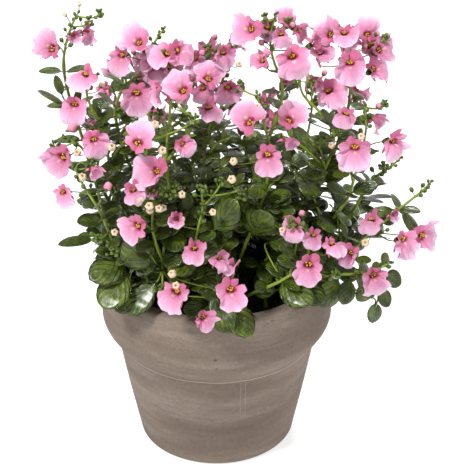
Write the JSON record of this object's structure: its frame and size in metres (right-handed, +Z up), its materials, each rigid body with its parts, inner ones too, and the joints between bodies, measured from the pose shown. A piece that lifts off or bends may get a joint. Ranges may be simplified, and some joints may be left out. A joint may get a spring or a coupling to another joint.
{
  "type": "potted diascia",
  "caption": "Bushy diascia with thin upright stems, toothed leaves and pink two-spurred flowers, rooted in compost in a tapered clay pot with a tall rim.",
  "frame": {"origin": "centre of the box that bounds the whole plant and pot, on the plane that the pot stands on; the pot's own axis stands 10 mm to the left of it and 7 mm behind it", "axes": "+Z up along the pot's axis, -Y towards the side seen from the front, +X to that viewer's right"},
  "size_m": [0.2258, 0.1724, 0.2742],
  "materials": {
    "clay": "unglazed grey-brown clay with a pale wash, matt",
    "compost": "dark crumbly compost, matt",
    "foliage": "deep green leaves with a soft gloss, on yellow-green stems",
    "petals": "soft satin pink petals, darker pink round a small yellow centre"
  },
  "bodies": {
    "root": {"clay_pot": "clay", "compost": "compost", "flower_01": "petals", "flower_02": "petals", "flower_03": "petals", "flower_04": "petals", "flower_05": "petals", "flower_06": "petals", "flower_07": "petals", "flower_08": "petals", "flower_09": "petals", "flower_10": "petals", "flower_11": "petals", "flower_12": "petals", "flower_13": "petals", "flower_14": "petals", "flower_15": "petals", "flower_16": "petals", "flower_17": "petals", "flower_18": "petals", "flower_19": "petals", "flower_20": "petals", "flower_21": "petals", "flower_22": "petals", "flower_23": "petals", "flower_24": "petals", "flower_25": "petals", "flower_26": "petals", "flower_27": "petals", "flower_28": "petals", "flower_29": "petals", "flower_30": "petals", "flower_31": "petals", "flower_32": "petals", "flower_33": "petals", "flower_34": "petals", "flower_35": "petals", "shoot_back_left": "foliage", "shoot_back_middle": "foliage", "shoot_back_right": "foliage", "shoot_bowed_right": "foliage", "shoot_crown_left": "foliage", "shoot_crown_mid_left": "foliage", "shoot_crown_middle": "foliage", "shoot_far_right": "foliage", "shoot_front_left": "foliage", "shoot_front_low_left": "foliage", "shoot_front_middle": "foliage", "shoot_front_right": "foliage", "shoot_front_rim": "foliage", "shoot_left_low": "foliage", "shoot_left_middle": "foliage", "shoot_left_upper": "foliage", "shoot_middle_right": "foliage", "shoot_right_low": "foliage", "shoot_right_spike": "foliage", "shoot_right_upper": "foliage", "shoot_tall_left": "foliage", "shoot_tall_right": "foliage", "shoot_top_right": "foliage"}
  },
  "joints": []
}
